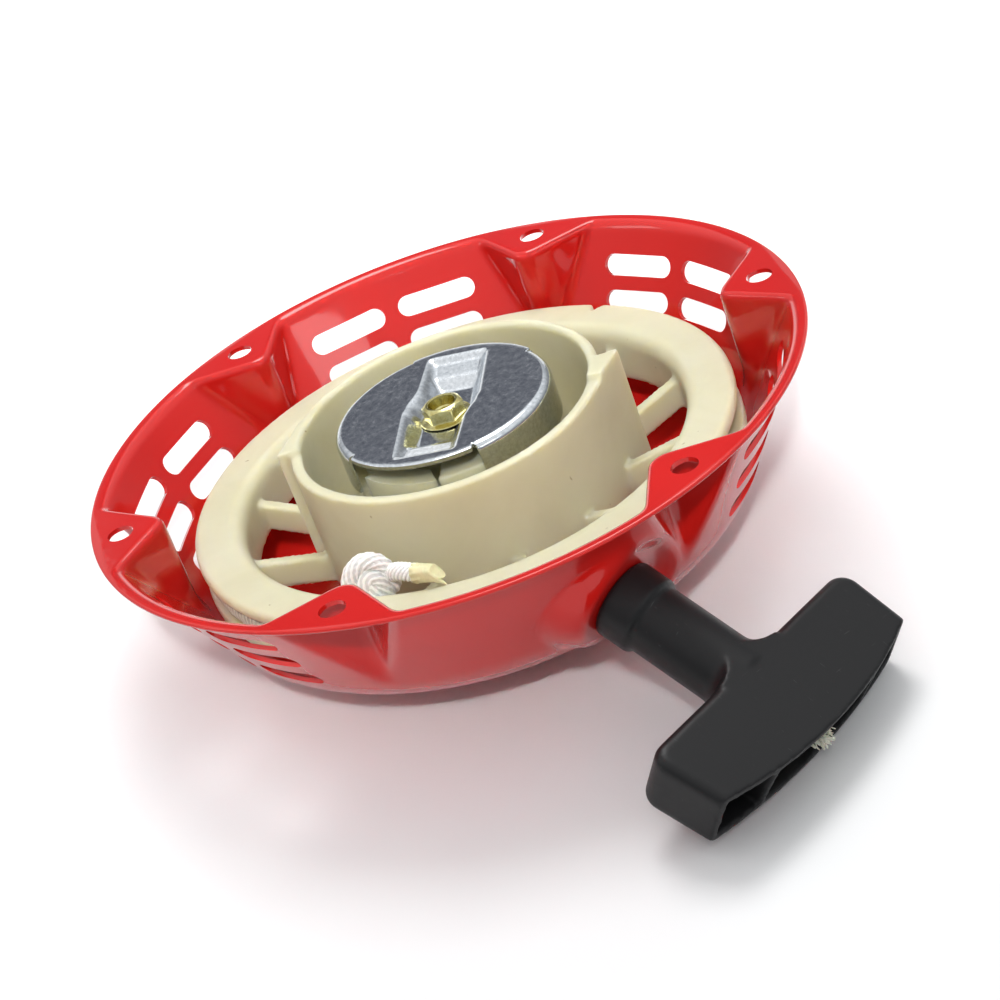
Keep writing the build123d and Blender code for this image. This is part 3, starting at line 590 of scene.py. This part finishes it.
def make_guide(material):
    """Plate with a pressed channel, a rounded shoulder, and two bent-down edges."""
    cols = 900
    azimuth = np.arange(cols) * 360.0 / cols
    c, s = np.cos(np.radians(azimuth)), np.sin(np.radians(azimuth))
    near = np.minimum(np.abs((azimuth - 27 + 180) % 360 - 180),
                      np.abs((azimuth - 207 + 180) % 360 - 180))
    flange = 1 - smoothstep(50.4, 51.2, near)
    relief = np.exp(-((near - 52.2) / 1.0) ** 2)
    flat_rows, bend_rows = 88, 8
    edge_drop = 0.35                    # of the plain edge, where nothing is bent down
    top = []
    for r in np.linspace(GUIDE_HOLE_R, GUIDE_FLAT_R, flat_rows):
        x, y = r * c, r * s
        top.append(np.stack((x, y, guide_surface(x, y)), axis=1))
    for angle in np.linspace(0, 90, bend_rows + 1)[1:]:
        a = math.radians(angle)
        drop = GUIDE_BEND * (1 - math.cos(a)) * flange + edge_drop * (1 - math.cos(a)) * (1 - flange)
        r = GUIDE_FLAT_R + (GUIDE_BEND + 0.2 * flange) * math.sin(a) - 1.6 * relief * math.sin(a)
        top.append(np.stack((r * c, r * s, GUIDE_TOP_Z - drop), axis=1))
    for t in np.linspace(0, 1, 8)[1:]:
        r = 29.4 - 0.2 * (1 - flange) - 1.6 * relief
        z = GUIDE_TOP_Z - GUIDE_BEND * flange - edge_drop * (1 - flange)
        z = z - (GUIDE_SKIRT * t) * flange - 0.05 * t
        top.append(np.stack((r * c, r * s, z), axis=1))
    grid = np.array(top)
    normal = surface_normals(grid)
    if normal[10, 0, 2] < 0:
        normal = -normal
    radial = grid * (1, 1, 0)
    radial = radial / np.maximum(np.linalg.norm(radial, axis=2, keepdims=True), 1e-9)
    down = np.zeros_like(grid)
    down[..., 2] = -1
    wall_rows = np.zeros((len(top), cols, 1))
    wall_rows[flat_rows + bend_rows:] = flange[None, :, None]
    inward = down * (1 - wall_rows) - radial * wall_rows
    under = grid + inward * GUIDE_THICK
    bent = slice(flat_rows, flat_rows + bend_rows)
    under[bent] = grid[bent] + (down[bent] * 0.8 - radial[bent] * 0.8 * flange[None, :, None])
    rows = [under[k] for k in range(len(top) - 1, -1, -1)] + [grid[k] for k in range(len(top))]
    points = np.concatenate(rows)
    faces = grid_faces(len(rows), cols).tolist()
    last = (len(rows) - 1) * cols
    faces += [[last + k, last + (k + 1) % cols, (k + 1) % cols, k] for k in range(cols)]
    obj = add_mesh("ratchet_guide_plate", points, faces)
    face_outward(obj, weld=0.00001)
    sharpen(obj, 45)
    set_material(obj, material)
    return obj


# ---------------------------------------------------------------- bolt
def make_bolt(material):
    """Flanged hex head, chamfered on top, with a hollow; lathed round with a hexagon's outline."""
    cols = 360
    a = np.arange(cols) * 2 * math.pi / cols
    hexagon = BOLT_FLAT / np.cos((a - math.radians(12) + math.pi / 6) % (math.pi / 3) - math.pi / 6)
    hexagon = smooth_min(hexagon, np.full(cols, BOLT_CORNER), 0.05)
    round_ = np.ones(cols)
    profile = [(0.3 * round_, -2.5), (2.7 * round_, -2.4), (3.1 * round_, -2.1), (3.6 * round_, 0.2),
               (3.68 * round_, 0.46), (3.84 * round_, 0.58), (4.2 * round_, 0.58), (4.45 * round_, 0.5)]
    for z, cone in ((0.36, 4.75), (0.2, 5.05), (0.02, 5.35), (-0.18, BOLT_CORNER)):
        profile.append((np.minimum(hexagon, cone), z))
    for z in (-1.0, -2.2, -3.0):
        profile.append((hexagon, z))
    profile += [(hexagon + 0.06, -3.16), (np.maximum(hexagon + 0.2, 5.8), -3.3), (6.5 * round_, -3.42),
                (6.9 * round_, -3.5), (7.0 * round_, -3.62), (6.95 * round_, -3.77), (6.7 * round_, -3.88),
                (3.0 * round_, -3.9), (2.95 * round_, -6.0)]
    z = -6.0
    while z > -21.0:
        profile += [(2.6 * round_, z - 0.5), (2.95 * round_, z - 1.0)]
        z -= 1.0
    profile += [(2.4 * round_, -21.6), (0.3 * round_, -21.7)]
    rows = [np.stack((r * np.cos(a), r * np.sin(a), np.full(cols, z)), axis=1) for r, z in profile]
    points = np.concatenate(rows)
    faces = grid_faces(len(rows), cols).tolist() + end_caps(len(points), cols)
    obj = add_mesh("hex_bolt", points, faces)
    face_outward(obj)
    sharpen(obj, 28)
    set_material(obj, material)
    return obj


# ---------------------------------------------------------------- rope
def smooth_path(points, step):
    """A smooth line through points, resampled evenly, with frames that don't twist."""
    p = np.asarray(points, float)
    p = np.vstack((2 * p[0] - p[1], p, 2 * p[-1] - p[-2]))
    fine = []
    for k in range(1, len(p) - 2):
        a, b, c, d = p[k - 1], p[k], p[k + 1], p[k + 2]
        for t in np.linspace(0, 1, 40, endpoint=False):
            fine.append(0.5 * (2 * b + (c - a) * t + (2 * a - 5 * b + 4 * c - d) * t * t
                               + (3 * b - a - 3 * c + d) * t ** 3))
    fine.append(p[-2])
    fine = np.array(fine)
    length = np.concatenate(([0], np.cumsum(np.linalg.norm(np.diff(fine, axis=0), axis=1))))
    count = max(int(length[-1] / step), 4)
    at = np.linspace(0, length[-1], count)
    line = np.stack([np.interp(at, length, fine[:, k]) for k in range(3)], axis=1)
    tangent = np.gradient(line, axis=0)
    tangent /= np.linalg.norm(tangent, axis=1, keepdims=True)
    side = np.cross(tangent[0], (0.3, 0.2, 0.93))
    side /= np.linalg.norm(side)
    sides = []
    for t in tangent:
        side = side - t * (side @ t)
        side /= np.linalg.norm(side)
        sides.append(side)
    sides = np.array(sides)
    return at, line, sides, np.cross(tangent, sides)


def braid_shell(points, radius, strands=16, pitch=11.0, depth=0.42, step=0.14, around=128, lean=0.0):
    """Points and faces of a round braid: two sets of strands that cross over and under."""
    at, line, u, v = smooth_path(points, step)
    angle = np.arange(around) * 2 * math.pi / around
    s, a = np.meshgrid(at, angle, indexing="ij")
    turn = math.pi * strands * s / pitch
    right, left = strands * a / 2 + turn, strands * a / 2 - turn
    over = 0.5 + 0.5 * np.cos((right + left) / 2) * np.cos((right - left) / 2)
    one, two = np.abs(np.cos(right / 2)), np.abs(np.cos(left / 2))
    one_high, two_high = one ** 0.7 * (0.62 + lean + 0.38 * over), two ** 0.7 * (1.0 - lean - 0.38 * over)
    height = np.maximum(one_high, two_high)
    yarn = 0.10 * np.abs(np.sin(np.where(one_high > two_high, right, left) * 1.5))
    r = radius - depth + depth * (height - yarn)
    shell = line[:, None, :] + r[..., None] * (np.cos(a)[..., None] * u[:, None, :]
                                               + np.sin(a)[..., None] * v[:, None, :])
    faces = grid_faces(len(at), around).tolist() + end_caps(len(at) * around, around)
    return shell.reshape(-1, 3), faces, height.ravel()


def braid(name, paths, radius, material, **options):
    """One object made of one or more lengths of braided rope."""
    points, faces, heights, count = [], [], [], 0
    for path in paths:
        shell, loops, height = braid_shell(path, radius, **options)
        points.append(shell)
        heights.append(height)
        faces += [[k + count for k in loop] for loop in loops]
        count += len(shell)
    obj = add_mesh(name, np.concatenate(points), faces)
    # The strand height of each point, which the rope's material uses for painted shade in the valleys
    # between strands.
    strand = obj.data.attributes.new("strand", "FLOAT", "POINT")
    strand.data.foreach_set("value", np.concatenate(heights).astype(np.float32))
    set_material(obj, material)
    return obj


def polar(radius, azimuth, z):
    a = math.radians(azimuth)
    return np.array((radius * math.cos(a), radius * math.sin(a), z))


def knot_point(right, near, up):
    """A place by the reel's knot: along the ring's chord, outward from the wall, and up."""
    side, out = polar(1, KNOT_AZIMUTH + 125.5, 0), polar(1, KNOT_AZIMUTH + 35.5, 0)
    return polar(54.3, KNOT_AZIMUTH, -15.0) + side * right + out * near + np.array((0, 0, up))


def make_reel_knot(material):
    """An overhand knot in braided rope, pulled tight against the ring: an arch over a tight core."""
    put = knot_point
    hole = polar(62.3, KNOT_AZIMUTH, ROPE_Z)
    outer = [hole, polar(59.5, KNOT_AZIMUTH, ROPE_Z), put(-4.4, 4.4, -5.6), put(-5.3, 3.6, -2.4),
             put(-5.0, 3.2, 1.2), put(-3.2, 3.2, 4.4), put(0.1, 3.2, 5.9), put(3.2, 3.0, 4.3),
             put(4.8, 2.8, 1.0), put(5.0, 2.4, -2.6), put(3.2, 0.8, -4.8), put(-0.6, -0.8, -5.0),
             put(-3.4, -1.2, -2.0), put(-2.6, -1.0, 0.6), put(0.4, -0.8, 1.4), put(3.2, 0.0, 0.4),
             put(5.0, 1.6, -0.2)]
    inner = [put(-2.4, 4.4, -6.4), put(-2.3, 4.6, -2.8), put(-1.7, 4.7, 0.4), put(0.1, 4.6, 2.0),
             put(1.8, 4.4, 0.4), put(2.4, 4.2, -2.8), put(2.4, 3.6, -6.4)]
    core = [put(0.0, 5.4, -6.4), put(0.0, 5.2, -2.8), put(0.0, 4.2, 0.4), put(0.0, 2.0, 2.2),
            put(0.0, -0.6, 1.0)]
    return braid("reel_knot", [outer, inner, core], 2.3, material, pitch=20.0, depth=0.5, lean=0.12)


def make_tail(material):
    """The rope's loose end past the knot, as far as its melted tip."""
    start, end = polar(58.0, KNOT_AZIMUTH + 7.0, -12.4), polar(61.0, KNOT_AZIMUTH + 22, -12.8)
    cut = start + (end - start) * 0.56 + np.array((0, 0, 0.2))
    path = [knot_point(4.2, 1.6, -0.6), knot_point(6.0, 4.2, 0.8), knot_point(8.0, 7.4, 2.1), cut]
    woven = braid("rope_tail_braid", [path], 2.35, material, depth=0.5, lean=0.16)
    return woven, (start, cut, end)


def make_melted_tip(start, end, material):
    """Fused rope end: a flattened block with a slanted end, and a drip drawn out of its lower corner."""
    out = (end - start) / np.linalg.norm(end - start)
    up = np.array((0, 0, 1.0))
    side = np.cross(up, out)
    length = np.linalg.norm(end - start)
    rows, around, steps = [], 48, 30
    a = np.arange(around) * 2 * math.pi / around
    c, s = np.cos(a), np.sin(a)
    shape = 1 / (np.abs(c) ** 4.0 + np.abs(s) ** 4.0) ** 0.25
    rng = np.random.default_rng(5)
    wobble = rng.normal(0, 0.05, (steps, around))
    for k, t in enumerate(np.linspace(0, 1, steps)):
        cap = math.sqrt(1 - 0.75 * max(t - 0.92, 0) / 0.08)
        ribs = 0.12 * np.cos(a * 9 + t * 6) * (1 - t) ** 2
        r = (shape + ribs + (wobble[k] + np.roll(wobble[k], 1) + np.roll(wobble[k], 2)) * 0.4) * cap
        centre = start + out * length * t
        slant = np.outer(np.maximum(t - 0.3, 0) * (-0.9 - 1.9 * s), out)
        rows.append(centre + slant + np.outer(c * r * 2.1, side) + np.outer(s * r * (2.2 - 0.5 * t), up))
    points = np.concatenate(rows)
    faces = grid_faces(len(rows), around).tolist() + end_caps(len(points), around)
    drip_count = 14
    start_at = len(points)
    drip = []
    corner = end - up * 1.1 - side * 1.3
    for t in np.linspace(0, 1, drip_count):
        radius = 0.75 * (1 - t) ** 0.7 + 0.12
        centre = corner + out * (2.6 * t - 1.4) - up * (1.7 * t * t)
        drip.append(centre + radius * (np.outer(c, side) + np.outer(s, up)))
    points = np.concatenate([points] + drip)
    faces += grid_faces(drip_count, around, start=start_at).tolist()
    faces += end_caps(len(points), around, start_at)
    obj = add_mesh("melted_tip", points, faces)
    smooth = obj.modifiers.new("smooth", "SMOOTH")
    smooth.iterations = 3
    apply_modifiers(obj)
    sharpen(obj, 50)
    set_material(obj, material)
    return obj


def grip_frame():
    """Local x across the crossbar, y through its thickness, z along the pull, from the seat."""
    across = np.array((-math.sin(math.radians(5)), math.cos(math.radians(5)), 0))
    thick = np.cross(PULL, across)
    roll = math.radians(-3)
    x = across * math.cos(roll) + thick * math.sin(roll)
    y = -across * math.sin(roll) + thick * math.cos(roll)
    return lambda a, b, c: SEAT + x * a + y * b + PULL * c


def make_frayed_end(material):
    """Loose filaments past the knot in the grip, pressed together and splayed at their ends."""
    put = grip_frame()
    rng = np.random.default_rng(11)
    points, faces = [], []
    around, filaments = 5, 150
    for _ in range(filaments):
        a, rad = rng.uniform(0, 2 * math.pi), 1.7 * math.sqrt(rng.uniform())
        x0, y0 = -2.0 + rad * math.cos(a) * 1.2, 1.4 + rad * math.sin(a) * 0.9
        spread = rng.normal(0, 1, 2)
        long = rng.uniform(5.0, 9.8)
        width = rng.uniform(0.16, 0.34)
        curl = rng.normal(0, 0.5, 2)
        line = []
        for t in np.linspace(0, 1, 9):
            bulge = math.sin(math.pi * min(t * 1.1, 1)) * 0.5
            x = x0 + (x0 + 2.0) * bulge + spread[0] * 1.15 * t * t + curl[0] * math.sin(4 * t) - 1.5 * t
            y = y0 + spread[1] * 0.9 * t * t + curl[1] * math.sin(3 * t) + 2.4 * t
            line.append(put(x, y, GRIP_POCKET + 8.0 + long * t))
        line = np.array(line)
        tangent = np.gradient(line, axis=0)
        tangent /= np.linalg.norm(tangent, axis=1, keepdims=True)
        side = np.cross(tangent, (0.1, 0.9, 0.3))
        side /= np.linalg.norm(side, axis=1, keepdims=True)
        other = np.cross(tangent, side)
        start = len(points) * around
        for j in range(len(line)):
            w = width * (1 - 0.5 * (j / 8) ** 3)
            ring = [line[j] + w * (math.cos(b) * side[j] + math.sin(b) * other[j])
                    for b in np.arange(around) * 2 * math.pi / around]
            points.append(ring)
        faces += grid_faces(len(line), around, start=start).tolist()
        faces += end_caps(start + len(line) * around, around, start)
    obj = add_mesh("frayed_end", np.array(points).reshape(-1, 3), faces)
    set_material(obj, material)
    return obj


def make_grip_knot(material):
    """Stopper knot in the crossbar's middle hollow."""
    put = grip_frame()
    z = GRIP_POCKET
    path = [put(0, 0, z - 1.0), put(0.2, 0.2, z + 1.4), put(1.8, 1.2, z + 2.6), put(3.2, 0.4, z + 4.2),
            put(2.0, -2.2, z + 5.6), put(-1.4, -2.8, z + 4.8), put(-3.2, -0.4, z + 3.6),
            put(-1.8, 2.4, z + 3.0), put(1.6, 2.8, z + 4.8), put(2.2, 0.2, z + 6.8),
            put(-0.6, -1.2, z + 7.0), put(-2.4, 0.6, z + 7.2), put(-2.0, 1.2, z + 8.6)]
    return braid("grip_knot", [path], PULL_ROPE_R, material)


# ---------------------------------------------------------------- light
def area_light(name, at, aim, size, power):
    """A white rectangular lamp; places and sizes in metres."""
    data = bpy.data.lights.new(name, "AREA")
    data.shape = "RECTANGLE"
    data.size, data.size_y = size
    data.energy = power
    obj = bpy.data.objects.new(name, data)
    bpy.context.scene.collection.objects.link(obj)
    obj.location = Vector(at)
    obj.rotation_euler = (Vector(aim) - Vector(at)).to_track_quat("-Z", "Y").to_euler()
    return obj


def card(name, at, aim, size, value):
    """A glowing panel that only reflections see: a grey studio wall or a white window."""
    mat = bpy.data.materials.new(name)
    mat.use_nodes = True
    nodes = mat.node_tree.nodes
    nodes.remove(nodes["Principled BSDF"])
    glow = nodes.new("ShaderNodeEmission")
    glow.inputs["Color"].default_value = (*value, 1)
    mat.node_tree.links.new(glow.outputs[0], nodes["Material Output"].inputs["Surface"])
    w, h = size[0] / 2, size[1] / 2
    corners = np.array(((-w, -h, 0), (w, -h, 0), (w, h, 0), (-w, h, 0))) / MM
    obj = add_mesh(name, corners, [(0, 1, 2, 3)], smooth=False)
    obj.location = Vector(at)
    obj.rotation_euler = (Vector(aim) - Vector(at)).to_track_quat("Z", "Y").to_euler()
    set_material(obj, mat)
    obj.visible_camera = obj.visible_diffuse = obj.visible_shadow = obj.visible_transmission = False
    return obj


def make_floor():
    """White table top under the closed end and the grip; it drops with the grip when the rope is pulled."""
    mat, tree, shader, coord = new_material("white_table")
    cloud = noise(tree, coord, 0.01, 2.0)
    tree.links.new(ramp(tree, cloud, [(0.3, (0.90, 0.90, 0.90)), (0.7, (0.93, 0.93, 0.93))]),
                   shader.inputs["Base Color"])
    set_inputs(shader, Roughness=0.6)
    shader.inputs["Specular IOR Level"].default_value = 0.2
    grid = []
    low = np.array((125.0, -20.0, -63.6))
    touch = np.array((-50.0, 0.0, -46.2))
    along = (low - touch) / np.linalg.norm(low - touch)
    side = np.array((0.0, 1.0, 0.0))
    count = 41
    spread = 3000.0
    for i in np.linspace(-1, 1, count):
        for j in np.linspace(-1, 1, count):
            grid.append(touch + along * (i * spread) + side * (j * spread))
    obj = add_mesh("table", np.array(grid), grid_faces(count, count, closed=False))
    set_material(obj, mat)
    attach(obj, "rope_end")
    return obj


def make_world():
    """A studio that is grey at the sides and bright above."""
    world = bpy.data.worlds.new("world")
    bpy.context.scene.world = world
    world.use_nodes = True
    tree = world.node_tree
    coord = tree.nodes.new("ShaderNodeTexCoord")
    split = tree.nodes.new("ShaderNodeSeparateXYZ")
    tree.links.new(coord.outputs["Generated"], split.inputs[0])
    sky = ramp(tree, split.outputs["Z"], [(0.0, (0.26, 0.26, 0.27)), (0.25, (0.30, 0.31, 0.32)),
                                          (0.6, (0.88, 0.90, 0.92)), (1.0, (1.0, 1.0, 1.0))])
    tree.links.new(sky, tree.nodes["Background"].inputs["Color"])
    tree.nodes["Background"].inputs["Strength"].default_value = 1.0


def make_lights():
    """A key above and behind, a narrow fill from the front, and the panels seen in metal and enamel."""
    card("dark_wall", (-1.095, 0.72, 0.73), (0, 0, 0), (0.62, 0.50), (0.12, 0.125, 0.15))
    card("backdrop", (-1.09, 0.71, 0.22), (0, 0, 0), (1.3, 0.26), (1.2, 1.2, 1.2))
    card("window_east", (1.187, -0.041, 0.742), (0, 0, 0), (0.50, 0.13), (4.5, 4.5, 4.5))
    card("window_west", (-0.724, -0.833, 0.862), (0, 0, 0), (0.42, 0.22), (3.5, 3.5, 3.5))
    card("bright_table", (-0.20, 0.32, -0.035), (-0.20, 0.32, 1.0), (0.60, 0.36), (3.0, 3.0, 3.0))
    area_light("key", (-0.28, 0.40, 1.15), (0.02, 0, -0.02), (0.55, 0.55), 7.5)
    fill = area_light("fill", (0.80, -0.52, 0.88), (-0.035, 0.025, 0.0), (0.22, 0.22), 0.105)
    fill.data.spread = math.radians(8)
    fill.visible_glossy = False


# ---------------------------------------------------------------- build
make_camera()
bpy.context.scene.view_settings.view_transform = "Standard"
make_world()
make_floor()

RED = enamel()
CREAM = nylon()
ZINC = plated("bright_zinc", (0.52, 0.555, 0.59), (0.82, 0.85, 0.88), (0.12, 0.26), 0.9)
YELLOW = plated("yellow_zinc", (0.50, 0.40, 0.12), (0.70, 0.68, 0.36), (0.14, 0.28), 0.35)
STEEL = plated("turned_steel", (0.38, 0.38, 0.39), (0.50, 0.50, 0.51), (0.25, 0.4))
BLUED = plated("blued_spring", (0.10, 0.11, 0.14), (0.20, 0.21, 0.25), (0.25, 0.4))
BLACK = black_plastic()
WHITE_ROPE = rope_material("white_rope", (0.86, 0.87, 0.84), woven=True)
FRAY = rope_material("frayed_rope", (0.80, 0.80, 0.68))
MELTED = rope_material("melted_rope", (0.64, 0.62, 0.36), fuzz=0.0, rough=0.4)
WOUND = braided_cad("wound_rope", (0.55, 0.54, 0.42))

housing = make_housing(RED)
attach(housing, "case")
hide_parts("housing")

reel = joined_copy("reel_moulding", ["reel_ring", "reel_wall", "reel_spokes", "reel_drum"])
soften(reel, 0.6, 5)
set_material(reel, CREAM)
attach(reel, "reel")
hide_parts("reel_ring", "reel_wall", "reel_spokes", "reel_drum")

guide = make_guide(ZINC)
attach(guide, "guide")
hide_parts("ratchet_guide")

bolt = make_bolt(YELLOW)
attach(bolt, "case")
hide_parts("set_bolt")

grip = joined_copy("t_grip", ["grip"])
soften(grip, 0.5, 6)
set_material(grip, BLACK)
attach(grip, "grip")
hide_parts("grip")

knot = make_reel_knot(WHITE_ROPE)
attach(knot, "reel")
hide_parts("reel_rope_knot")

tail, (tail_start, tail_mid, tail_end) = make_tail(WHITE_ROPE)
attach(tail, "reel")
tip = make_melted_tip(tail_mid - (tail_mid - tail_start) * 0.08, tail_end, MELTED)
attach(tip, "reel")
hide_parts("rope_tail")

grip_knot = make_grip_knot(WHITE_ROPE)
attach(grip_knot, "grip")
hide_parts("grip_rope_knot")

fray = make_frayed_end(FRAY)
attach(fray, "grip")
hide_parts("rope_frayed_end")

rope_path = [SEAT + PULL * z for z in (-3.0, 8.0, 20.0, 32.0, 45.5)]
rope = braid("pull_rope_braid", [rope_path], PULL_ROPE_R, WHITE_ROPE)
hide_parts("pull_rope")
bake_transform(rope)

PLAIN = {"centre_post": STEEL, "rope_guide_bush": ZINC, "recoil_spring": BLUED, "thrust_washer": STEEL,
         "friction_spring": STEEL, "rope_lead": WOUND, "rope_coil": WOUND, "pawl_spring_1": STEEL,
         "pawl_spring_2": STEEL, "pawl_1": CREAM, "pawl_2": CREAM}
for node, material in PLAIN.items():
    for slot in bpy.data.objects[node].material_slots:
        slot.material = material

make_lights()
